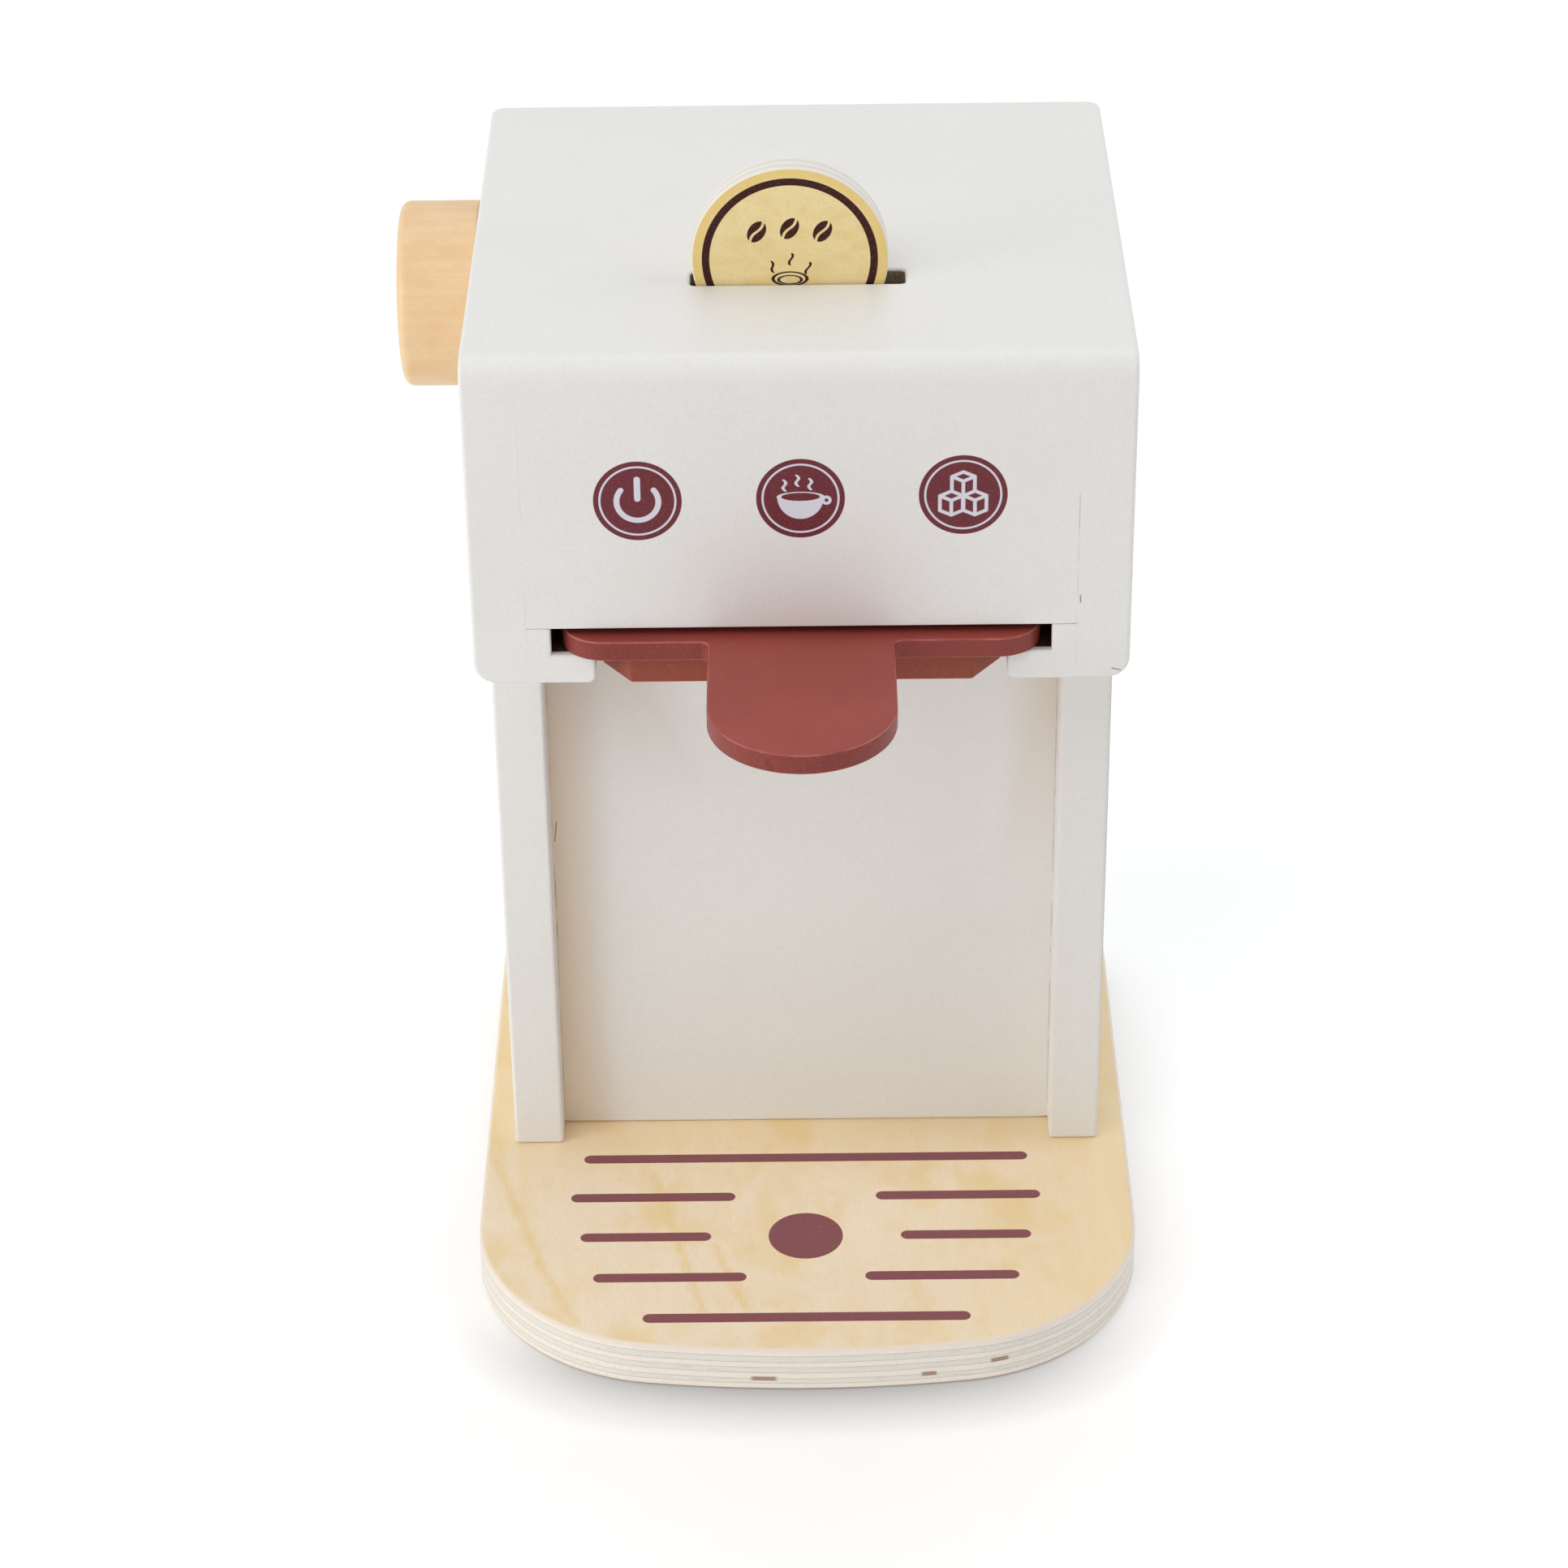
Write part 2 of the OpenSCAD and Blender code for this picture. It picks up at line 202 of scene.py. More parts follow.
class Recipe:
    """The node tree of one material or world."""

    def __init__(self, owner: bpy.types.Material | bpy.types.World) -> None:
        """Empties the node tree of its owner, which already uses nodes."""
        self.owner = owner
        self.tree = owner.node_tree
        self.tree.nodes.clear()

    @classmethod
    def material(cls, name: str) -> Recipe:
        """Starts a new material's recipe."""
        made = bpy.data.materials.new(name)
        made.use_nodes = True
        return cls(made)

    def node(
        self,
        kind: str,
        settings: dict[str, object] | None = None,
        sockets: dict[str | int, object] | None = None,
        output: str | int | None = 0,
    ) -> Signal | None:
        """Adds one node.

        Args:
            kind: The node's type.
            settings: Its properties, set first.
            sockets: A value or a link for each input, by name or number.
            output: Which output is handed back, or None for a node without one.

        Returns:
            That output.
        """
        made = self.tree.nodes.new(kind)
        for key, value in (settings or {}).items():
            setattr(made, key, value)
        for key, value in (sockets or {}).items():
            if isinstance(value, Signal):
                self.tree.links.new(value.socket, made.inputs[key])
            else:
                made.inputs[key].default_value = value
        return None if output is None else Signal(self, made.outputs[output])

    def spot(self) -> Spot:
        """Finds where the shaded point lies on the piece and which way it faces."""
        place = self.node("ShaderNodeTexCoord", output="Object")
        facing = self.node("ShaderNodeTexCoord", output="Normal")
        scaled = self.node(
            "ShaderNodeVectorMath", {"operation": "SCALE"}, {0: place, "Scale": 1.0 / MM}
        )
        x, y, z = (self.node("ShaderNodeSeparateXYZ", {}, {0: scaled}, i) for i in range(3))
        u, v, w = (self.node("ShaderNodeSeparateXYZ", {}, {0: facing}, i) for i in range(3))
        return Spot(self, x, y, z, u, v, w)

    def mix(self, share: Signal | float, first: Signal | Colour, second: Signal | Colour) -> Signal:
        """Blends two colours, with the share of the second one that shows."""
        settings = {"data_type": "RGBA", "clamp_factor": True}
        return self.node("ShaderNodeMix", settings, {0: share, 6: first, 7: second}, 2)

    def layered(
        self, colour: Signal | Colour, *layers: tuple[Signal, Signal | Colour]
    ) -> Signal | Colour:
        """Lays colours over the first one, each given with how much of it shows."""
        for share, tone in layers:
            colour = self.mix(share, colour, tone)
        return colour

    def seen(self) -> Signal:
        """Gives 1 for what the camera sees, also in a gloss or through glass."""
        rays = ("Is Camera Ray", "Is Glossy Ray", "Is Transmission Ray")
        direct, glossy, through = (self.node("ShaderNodeLightPath", output=ray) for ray in rays)
        return direct | glossy | through

    def surface(self, coat: Coat, sheen: Sheen) -> bpy.types.Material:
        """Joins a coat to the shader and hands the finished material back."""
        bumps = {"Height": coat.relief, "Distance": sheen.depth * MM}
        sockets = {
            "Base Color": coat.colour,
            "Roughness": coat.roughness,
            "Normal": self.node("ShaderNodeBump", {}, bumps),
            "Specular IOR Level": sheen.specular,
        }
        return self.show(self.node("ShaderNodeBsdfPrincipled", {}, {**sockets, **coat.constants}))

    def show(self, shader: Signal) -> bpy.types.Material:
        """Joins a shader to the material's output and hands the material back."""
        self.node("ShaderNodeOutputMaterial", {}, {"Surface": shader}, None)
        return self.owner


@dataclass(frozen=True)
class Pattern:
    """Even noise with cells of a given pitch in millimetres, and how strongly it shows.

    Show holds the noise at which the pattern starts to show, the noise from which it shows fully,
    and how strongly it then shows. The seed keeps two patterns apart.
    """

    pitch: Triple
    show: Triple = (0.0, 1.0, 1.0)
    seed: float = 0.0
    detail: float = 3.0
    harshness: float = 0.55

    def draw(self, spot: Spot) -> Signal:
        """Draws the noise, which stays near its mean."""
        sizes = zip((spot.x, spot.y, spot.z), self.pitch)
        x, y, z = (place * (1.0 / pitch) for place, pitch in sizes)
        place = spot.recipe.node("ShaderNodeCombineXYZ", {}, {0: x + self.seed, 1: y, 2: z})
        sockets = {"Vector": place, "Scale": 1.0, "Detail": self.detail, "Roughness": self.harshness}
        return spot.recipe.node("ShaderNodeTexNoise", {}, sockets)

    def veil(self, noise: Signal) -> Signal:
        """Tells how much of the pattern's colour shows for the drawn noise."""
        start, end, share = self.show
        return noise.rise(start, end) * share

    def over(self, spot: Spot) -> Signal:
        """Draws the pattern and tells how much of its colour shows."""
        return self.veil(self.draw(spot))


def inside(distance: Signal, reach: float, blur: float = 0.12) -> Signal:
    """Masks what lies nearer than the reach, with an edge as wide as the blur."""
    return distance.rise(reach + blur / 2, reach - blur / 2)


def length(u: Signal, v: Signal) -> Signal:
    """Gives the length of a flat vector."""
    return (u * u + v * v).root()


def from_wisp(u: Signal, v: Signal, half_length: float, turn: float, sway: float) -> Signal:
    """Gives the distance from an upright wavy line, whose waves turn by so many radians a unit."""
    return length(u - (v * turn).sine() * sway, (abs(v) - half_length) | 0.0)


def joined(masks: Sequence[Signal]) -> Signal:
    """Joins several masks."""
    return reduce(lambda first, second: first | second, masks)


def oval(u: Signal, v: Signal, half: Pair) -> Signal:
    """Gives how far a point lies from an oval's middle, where 1 is on the oval."""
    return length(u * (1.0 / half[0]), v * (1.0 / half[1]))


def to_line(u: Signal, v: Signal, start: Pair, end: Pair) -> Signal:
    """Gives the distance from a line between two points, whose mask has round ends."""
    du, dv = end[0] - start[0], end[1] - start[1]
    span = du * du + dv * dv
    from_u, from_v = u - start[0], v - start[1]
    along = (from_u * (du / span) + from_v * (dv / span)).clamp()
    return length(from_u - along * du, from_v - along * dv)


# --- Prints ---


class Print:
    """Ink that lies on a finish."""

    def layers(self, spot: Spot) -> Layers:
        """Gives the print's inks in the order in which they are laid, each with its mask."""
        raise NotImplementedError


@dataclass(frozen=True)
class DripPrint(Print):
    """The drip lines on the base, printed round one dot where the cup stands."""

    ink: Colour = tint(141, 84, 89)
    line_width: float = 2.8
    dot_radius: float = 7.5
    dot: Pair = (-0.3, -36.6)
    lines: tuple[Triple, ...] = (
        (-46.0, 45.7, -10.2),
        (-48.2, -14.6, -23.4),
        (14.1, 47.7, -23.4),
        (-45.8, -19.4, -36.6),
        (18.9, 45.2, -36.6),
        (-42.8, -12.2, -49.8),
        (11.5, 42.2, -49.8),
        (-32.6, 32.0, -62.7),
    )

    def layers(self, spot: Spot) -> Layers:
        """Gives the dot and the drip lines, each from left to right at its depth, in one ink."""
        mask = inside(length(spot.x - self.dot[0], spot.y - self.dot[1]), self.dot_radius)
        radius = self.line_width / 2
        for left, right, depth in self.lines:
            middle, half = (left + right) / 2, (right - left) / 2 - radius
            across = (abs(spot.x - middle) - half) | 0.0
            mask = mask | inside(length(across, spot.y - depth), radius)
        yield mask & spot.face_z.rise(*FACES_UP), self.ink


@dataclass(frozen=True)
class RoundSign(Print):
    """A round dark sign with a thin light ring, and a light picture that each kind draws.

    Every size but the width across, which is in millimetres, is a share of that width.
    """

    centre: Pair
    across: float = 16.0
    ground: Colour = tint(108, 37, 46)
    light: Colour = tint(222, 221, 232)
    radius: float = 0.5
    ring_middle: float = 0.428
    ring_width: float = 0.024
    ink_blur: float = 0.008

    def stroke(self, distance: Signal, width: float) -> Signal:
        """Masks a line of the given width."""
        return inside(distance, width / 2, self.ink_blur)

    def picture(self, u: Signal, v: Signal) -> Signal:
        """Masks the sign's picture, with u across and v up from the sign's middle."""
        raise NotImplementedError

    def layers(self, spot: Spot) -> Layers:
        """Gives the dark disc, then the ring and the picture."""
        u = (spot.x - self.centre[0]) * (1.0 / self.across)
        v = (spot.z - self.centre[1]) * (1.0 / self.across)
        front = spot.face_y.rise(*FACES_FRONT)
        from_middle = length(u, v)
        ring = self.stroke(abs(from_middle - self.ring_middle), self.ring_width)
        yield inside(from_middle, self.radius, self.ink_blur) & front, self.ground
        yield (ring | self.picture(u, v)) & front, self.light


@dataclass(frozen=True)
class PowerSign(RoundSign):
    """The common sign for on and off: an open ring with a bar in its gap."""

    bar: Line = ((0.0, 0.272), (0.0, 0.028))
    bar_width: float = 0.072
    arc_middle: float = -0.008
    arc_radius: float = 0.236
    arc_width: float = 0.066
    half_gap: float = math.radians(52.0)
    gap_blur: float = 0.002

    def picture(self, u: Signal, v: Signal) -> Signal:
        """Masks the bar and the open ring with its round ends."""
        bar = self.stroke(to_line(u, v, *self.bar), self.bar_width)
        height = v - self.arc_middle
        side = abs(u)
        away = math.sin(self.half_gap), math.cos(self.half_gap)
        in_gap = (height * away[0] - side * away[1]).rise(-self.gap_blur, self.gap_blur)
        ring = self.stroke(abs(length(u, height) - self.arc_radius), self.arc_width)
        tip = length(side - self.arc_radius * away[0], height - self.arc_radius * away[1])
        return bar | (ring & (1.0 - in_gap)) | self.stroke(tip, self.arc_width)


@dataclass(frozen=True)
class CupSign(RoundSign):
    """A cup of coffee seen from a little above, with three wisps of steam."""

    mouth_middle: float = 0.02
    mouth_half: Pair = (0.262, 0.062)
    bowl_half: Pair = (0.262, 0.28)
    bowl_blur: float = 0.04
    brim_blur: float = 0.004
    rim_middle: float = 0.93
    rim: Pair = (0.10, 0.05)
    hollow: Pair = (0.84, 0.05)
    handle: Pair = (0.292, -0.025)
    handle_radius: float = 0.040
    wisps: tuple[Pair, ...] = ((-0.180, 0.165), (-0.035, 0.225), (0.110, 0.180))
    wisp_half_length: float = 0.060
    sway: float = 0.016
    line_width: float = 0.036

    def steam(self, u: Signal, v: Signal) -> Signal:
        """Masks the wisps of steam."""
        half = self.wisp_half_length
        near = [from_wisp(u - a, v - b, half, math.pi / half, self.sway) for a, b in self.wisps]
        return joined([self.stroke(wisp, self.line_width) for wisp in near])

    def picture(self, u: Signal, v: Signal) -> Signal:
        """Masks the bowl, the line round its mouth, its handle and the steam."""
        down = v - self.mouth_middle
        mouth = oval(u, down, self.mouth_half)
        bowl = inside(oval(u, down, self.bowl_half), 1.0, self.bowl_blur)
        bowl = bowl & down.rise(self.brim_blur, -self.brim_blur)
        rim = inside(abs(mouth - self.rim_middle), *self.rim)
        hollow = inside(mouth, *self.hollow)
        grip = abs(length(u - self.handle[0], v - self.handle[1]) - self.handle_radius)
        cup = (bowl | self.stroke(grip, self.line_width)) & (1.0 - hollow)
        return cup | rim | self.steam(u, v)


@dataclass(frozen=True)
class CubesSign(RoundSign):
    """Three wire cubes in a heap."""

    half_width: float = 0.129
    half_height: float = 0.059
    edge: float = 0.185
    line_width: float = 0.041
    top_point: float = 0.29
    lower_shift: Pair = (0.133, -0.243)

    def cube(self, side: Signal, v: Signal, top: float) -> Signal:
        """Masks one cube's edges, with side as the distance from its middle and top as its peak."""
        w, h, e = self.half_width, self.half_height, self.edge
        corner, low = (w, top - h), (w, top - h - e)
        middle, foot = (0.0, top - 2 * h), (0.0, top - 2 * h - e)
        path = ((0.0, top), corner, low, foot, middle, corner)
        near = [to_line(side, v, *ends) for ends in zip(path, path[1:])]
        return joined([self.stroke(distance, self.line_width) for distance in near])

    def picture(self, u: Signal, v: Signal) -> Signal:
        """Masks the top cube and the two below it."""
        side = abs(u)
        shift, drop = self.lower_shift
        lower = self.cube(abs(side - shift), v, self.top_point + drop)
        return self.cube(side, v, self.top_point) | lower


@dataclass(frozen=True)
class CoinPrint(Print):
    """The coin's ring, a row of coffee beans and a steaming cup, in one brown ink."""

    centre: Pair = (-1.4, 213.6)
    ink: Colour = tint(58, 20, 16)
    ring_middle: float = 15.4
    ring_width: float = 1.4
    beans: tuple[Pair, ...] = ((-6.0, 5.6), (0.0, 6.2), (6.0, 5.6))
    bean_half: Pair = (1.55, 2.25)
    bean_body: Pair = (1.0, 0.08)
    bean_lean: float = 0.55
    crease: float = 0.24
    crease_turn: float = 1.3
    crease_sway: float = 0.3
    cup: Pair = (0.0, -3.8)
    rim_half: Pair = (3.1, 1.35)
    rim: Pair = (0.10, 0.06)
    coffee_half: Pair = (2.1, 0.85)
    coffee_drop: float = 0.2
    coffee: Pair = (0.13, 0.08)
    wisps: tuple[Triple, ...] = ((-3.2, 2.4, -0.25), (0.2, 3.9, 0.1), (3.3, 2.1, 0.25))
    wisp_line: Pair = (0.24, 0.08)
    wisp_half_length: float = 1.0
    wisp_turn: float = 2.4
    wisp_sway: float = 0.28

    def bean(self, u: Signal, v: Signal) -> Signal:
        """Masks one bean, which leans to the right and has a wavy crease."""
        lean = math.cos(self.bean_lean), math.sin(self.bean_lean)
        along = u * lean[1] + v * lean[0]
        across = u * lean[0] - v * lean[1]
        crease = abs(across - (along * self.crease_turn).sine() * self.crease_sway)
        body = inside(oval(across, along, self.bean_half), *self.bean_body)
        return body & (1.0 - inside(crease, self.crease))

    def layers(self, spot: Spot) -> Layers:
        """Gives the whole print in one ink, with its wisps as place across, height and lean."""
        u, v = spot.x - self.centre[0], spot.z - self.centre[1]
        mask = inside(abs(length(u, v) - self.ring_middle), self.ring_width / 2)
        for across, up in self.beans:
            mask = mask | self.bean(u - across, v - up)
        u, v = u - self.cup[0], v - self.cup[1]
        mask = mask | inside(abs(oval(u, v, self.rim_half) - 1.0), *self.rim)
        coffee = oval(u, v + self.coffee_drop, self.coffee_half)
        mask = mask | inside(abs(coffee - 1.0), *self.coffee)
        wave = self.wisp_half_length, self.wisp_turn, self.wisp_sway
        for across, up, lean in self.wisps:
            near = from_wisp(u - across - (v - up) * lean, v - up, *wave)
            mask = mask | inside(near, *self.wisp_line)
        yield mask & spot.face_y.rise(*FACES_FRONT), self.ink


@dataclass(frozen=True)
class Seams(Print):
    """Faint lines where boards meet under the paint, each with its strength, and small chips."""

    ink: Colour = tint(150, 144, 136)
    half_width: float = 0.09
    chip_half_width: float = 0.12
    blur: float = 0.15
    reach: Pair = (-42.5, -42.9)
    broken: Pattern = Pattern((6.0, 6.0, 6.0), (0.35, 0.6, 1.0), 71.0)
    lines: tuple[tuple[Pair, Pair, float], ...] = (
        ((-50.5, 146.0), (-50.5, 201.0), 0.12),
        ((50.5, 146.0), (50.5, 168.0), 0.25),
        ((50.5, 168.0), (50.5, 184.0), 0.55),
        ((46.2, 155.0), (52.0, 155.3), 0.5),
    )
    chips: tuple[Line, ...] = (
        ((57.2, 145.6), (58.8, 145.2)),
        ((51.0, 161.0), (51.1, 159.6)),
    )

    def layers(self, spot: Spot) -> Layers:
        """Gives the lines, broken up by noise, and the chips, on what faces front in reach."""
        front = spot.face_y.rise(*FACES_FRONT) * spot.y.rise(*self.reach)
        masks = []
        for start, end, strength in self.lines:
            near = to_line(spot.x, spot.z, start, end)
            masks.append(inside(near, self.half_width, self.blur) * strength)
        masks = [joined(masks) * self.broken.over(spot)]
        for chip in self.chips:
            near = to_line(spot.x, spot.z, *chip)
            masks.append(inside(near, self.chip_half_width, self.blur))
        yield joined(masks) * front, self.ink


@dataclass(frozen=True)
class ShadeBox:
    """A box, in millimetres, inside which a darker tone is painted as shade; in the slot and the
    channel it lies over bare board.
    """

    low: Triple
    high: Triple
    tone: Colour
    dark: Colour
    blur: Triple = (0.5, 0.5, 0.5)

    def mask(self, spot: Spot) -> Signal:
        """Masks what lies inside the box."""
        places = spot.x, spot.y, spot.z
        masks = [
            place.rise(low, low + blur) & place.rise(high, high - blur)
            for place, low, high, blur in zip(places, self.low, self.high, self.blur)
        ]
        return masks[0] & masks[1] & masks[2]


# --- Finishes ---


class Finish:
    """A finish that becomes one material, with any prints laid over it."""

    sheen: Sheen
    under_ink: Colour = tint(214, 196, 180)
    thin_ink: Pattern = Pattern((0.5, 0.5, 0.5), (0.5, 0.8, 0.10), 40.0)

    def coat(self, spot: Spot) -> Coat:
        """Works out the bare finish at a spot."""
        raise NotImplementedError

    def dress(self, name: str, *prints: Print) -> bpy.types.Material:
        """Makes the material.

        Args:
            name: The material's name.
            *prints: Inks to lay on it, in order.

        Returns:
            The material.
        """
        recipe = Recipe.material(name)
        spot = recipe.spot()
        coat = self.coat(spot)
        for each in prints:
            for mask, ink in each.layers(spot):
                worn = self.thin_ink.over(spot)
                coat.colour = recipe.mix(mask, coat.colour, recipe.mix(worn, ink, self.under_ink))
        return recipe.surface(coat, self.sheen)


@dataclass(frozen=True)
class WhitePaint(Finish):
    """Satin white paint, rolled on thinly, with boxes of painted shade: bare board painted darker
    inside the coin slot and the tray's channel, and darker tones in the bay's corners where given.
    """

    tone: Colour = tint(238, 237, 235)
    shade: Colour = tint(231, 228, 223)
    cloud: Pattern = Pattern((45.0, 45.0, 45.0), (0.35, 0.75, 0.35))
    stipple: Pattern = Pattern((0.6, 0.6, 0.6), (0.40, 0.70, 0.42), 7.0)
    fibre: Pattern = Pattern((0.4, 3.0, 0.4), (0.4, 0.7, 1.0), 27.0)
    sheen: Sheen = Sheen(0.34, 0.12, 0.03, 0.3)
    shade_boxes: tuple[ShadeBox, ...] = (
        # Painted shade: the coin slot's walls, bare board painted darker than bare wood.
        ShadeBox((-20.6, -11.9, 190.0), (20.6, -3.7, 208.7), tint(160, 145, 122), tint(118, 103, 82)),
        # Painted shade: the tray's channel, bare board painted nearly black.
        ShadeBox((-52.0, -41.9, 148.6), (52.0, 66.0, 155.6), tint(82, 56, 46), tint(54, 36, 30)),
    )

    def coat(self, spot: Spot) -> Coat:
        """Works out the paint at a spot."""
        cloud, stipple = self.cloud.draw(spot), self.stipple.draw(spot)
        fibre = self.fibre.over(spot)
        layers = [(self.cloud.veil(cloud), self.shade), (self.stipple.veil(stipple), self.shade)]
        # Lays each box's painted shade over the paint.
        for hollow in self.shade_boxes:
            layers.append((hollow.mask(spot), spot.recipe.mix(fibre, hollow.tone, hollow.dark)))
        colour = spot.recipe.layered(self.tone, *layers)
        return Coat(colour, self.sheen.vary(cloud, stipple), stipple)


@dataclass(frozen=True)
class RedPaint(Finish):
    """Dusty red paint whose edges show the wood's layers through it, with a lighter rim on the
    rounded edges: partly worn paint, partly painted highlight.
    """

    tone: Colour = tint(158, 71, 63)
    shade: Colour = tint(124, 46, 40)
    worn: Colour = tint(192, 116, 108)
    scratch: Colour = tint(84, 34, 32)
    cloud: Pattern = Pattern((22.0, 22.0, 22.0), (0.35, 0.7, 0.25))
    speckle: Pattern = Pattern((0.45, 0.45, 0.45), (0.45, 0.80, 0.16), 3.0)
    hatch: Pattern = Pattern((0.7, 0.7, 0.16), (0.5, 0.8, 0.22), 17.0, 2.0)
    # Where the rounded edges are lighter: worn paint and a painted highlight.
    wear_and_highlight: Pattern = Pattern((5.0, 5.0, 5.0), (0.30, 0.62, 0.65), 23.0)
    side_tilt: Pair = (0.6, 0.2)
    side_share: float = 0.70
    rim_tilt: float = 0.62
    rim: Pair = (0.22, 0.2)
    nicks: tuple[Triple, ...] = ((-6.2, 151.6, 0.45), (-5.6, 150.4, 0.3))
    nick_stretch: float = 0.6
    nick_blur: float = 0.4
    nick_share: float = 0.7
    tip_from: Pair = (-84.0, -85.5)
    side_rough: float = 0.06
    sheen: Sheen = Sheen(0.44, 0.2, 0.02, 0.35)

    def coat(self, spot: Spot) -> Coat:
        """Works out the paint at a spot, with its nicks as place across, height and reach."""
        cloud, speckle, hatch = (p.draw(spot) for p in (self.cloud, self.speckle, self.hatch))
        upright = abs(spot.face_z)
        side = upright.rise(*self.side_tilt)
        rim = inside(abs(upright - self.rim_tilt), *self.rim)
        layers = [
            (self.cloud.veil(cloud) + side * self.side_share, self.shade),
            (self.speckle.veil(speckle), self.worn),
            (side * self.hatch.veil(hatch), self.worn),
            # Lighter rim on the rounded edges: partly worn paint, partly painted highlight.
            (rim * self.wear_and_highlight.over(spot), self.worn),
        ]
        for across, up, reach in self.nicks:
            near = length(spot.x - across, (spot.z - up) * self.nick_stretch)
            nick = inside(near, reach, self.nick_blur) * spot.y.rise(*self.tip_from)
            layers.append((nick * self.nick_share, self.scratch))
        colour = spot.recipe.layered(self.tone, *layers)
        roughness = self.sheen.vary(speckle) + side * self.side_rough
        return Coat(colour, roughness, speckle + hatch * side)


@dataclass(frozen=True)
class Ply(Finish):
    """Plywood: a veneer face, and plies that cross each other along its edges."""

    face: Colour = tint(255, 238, 211)
    face_deep: Colour = tint(251, 228, 188)
    figure: Colour = tint(245, 213, 142)
    long_ply: Colour = tint(250, 241, 230)
    end_ply: Colour = tint(238, 233, 224)
    glue: Colour = tint(196, 186, 173)
    rim: Colour = tint(246, 232, 216)
    knot_tone: Colour = tint(160, 124, 98)
    drift: Pattern = Pattern((30.0, 90.0, 30.0), detail=2.0, seed=5.0)
    drift_reach: float = 8.0
    grain_slope: float = 0.12
    streak: Pattern = Pattern((3.2, 60.0, 9.0), (0.40, 0.66, 0.35), detail=4.0)
    streak_relief: float = 0.5
    fine: Pattern = Pattern((0.45, 2.6, 2.0), (0.48, 0.78, 0.40), 9.0)
    cloud: Pattern = Pattern((9.0, 15.0, 9.0), (0.46, 0.70, 0.80), 2.0, 4.0)
    blotch: Pattern = Pattern((15.0, 22.0, 15.0), (0.50, 0.66, 0.45), 88.0)
    warm_right: Pair = (10.0, 75.0)
    warm_rear: Pair = (-30.0, 5.0)
    warm_share: float = 0.35
    mineral_lines: tuple[Line, ...] = ()
    mineral_sway: float = 1.5
    mineral: Pair = (0.8, 2.0)
    mineral_grain: Pair = (0.2, 0.6)
    mineral_share: float = 0.6
    low: float = 0.0
    bounds: tuple[float, ...] = (1.7, 2.87, 4.32, 5.63, 6.94, 8.4)
    wobble: Pattern = Pattern((30.0, 30.0, 30.0), detail=2.0, seed=31.0)
    wobble_reach: float = 0.35
    line_reach: float = 0.10
    line_share: float = 0.55
    along_x: Pattern = Pattern((9.0, 0.5, 0.35), (0.48, 0.78, 0.45), 51.0)
    along_y: Pattern = Pattern((0.5, 9.0, 0.35), seed=57.0)
    knots: tuple[Triple, ...] = ()
    knot_squash: float = 1.8
    knot: Pair = (0.9, 0.4)
    knot_share: float = 0.85
    rim_tilt: Pair = (0.12, 0.30)
    face_tilt: Pair = (0.90, 0.995)
    sheen: Sheen = Sheen(0.55, 0.2, 0.025, 0.25)

    def veneer(self, spot: Spot) -> tuple[Signal, Signal]:
        """Works out the face veneer's colour and relief, with its grain from front to rear."""
        drift = self.drift.draw(spot) * self.drift_reach
        bent = replace(spot, x=spot.x + drift + spot.y * self.grain_slope)
        streak, fine = self.streak.draw(bent), self.fine.draw(bent)
        cloud = self.cloud.draw(spot)
        warm = spot.x.rise(*self.warm_right) | spot.y.rise(*self.warm_rear)
        layers = [
            (self.streak.veil(streak), self.face_deep),
            (self.cloud.veil(cloud), self.face_deep),
            (self.blotch.over(spot), self.figure),
            (warm * self.warm_share, self.figure),
            (self.fine.veil(fine), self.figure),
        ]
        grain = fine.rise(*self.mineral_grain) * self.mineral_share
        swayed = spot.x + (cloud - NOISE_MEAN) * self.mineral_sway
        for line in self.mineral_lines:
            near = to_line(swayed, spot.y, *line)
            layers.append((inside(near, *self.mineral) * grain, self.figure))
        return spot.recipe.layered(self.face, *layers), fine + streak * self.streak_relief

    def plies(self, spot: Spot) -> tuple[Signal, Signal]:
        """Works out the edge's colour and fibres, with knots as place, height and half width."""
        wobble = (self.wobble.draw(spot) - NOISE_MEAN) * self.wobble_reach
        height = spot.z - self.low + wobble
        reach = self.line_reach
        steps = [height.rise(bound - reach, bound + reach) for bound in self.bounds]
        lines = [inside(abs(height - bound), reach) for bound in self.bounds]
        crossed = sum(steps[2::2], steps[0]) - sum(steps[3::2], steps[1])
        glue = joined(lines)
        fibre = self.along_x.draw(spot) * crossed + self.along_y.draw(spot) * (1.0 - crossed)
        layers = [
            (crossed, self.end_ply),
            (self.along_x.veil(fibre), self.glue),
            (glue * self.line_share, self.glue),
        ]
        for across, up, half in self.knots:
            knot = abs((spot.x - across) * (1.0 / half)) | abs((height - up) * self.knot_squash)
            layers.append((inside(knot, *self.knot) * self.knot_share, self.knot_tone))
        return spot.recipe.layered(self.long_ply, *layers), fibre

    def coat(self, spot: Spot) -> Coat:
        """Works out the wood at a spot."""
        face, relief = self.veneer(spot)
        edge, fibre = self.plies(spot)
        upright = abs(spot.face_z)
        rim, top = upright.rise(*self.rim_tilt), upright.rise(*self.face_tilt)
        colour = spot.recipe.layered(edge, (rim, self.rim), (top, face))
        return Coat(colour, self.sheen.vary(relief), relief + fibre * (1.0 - upright))


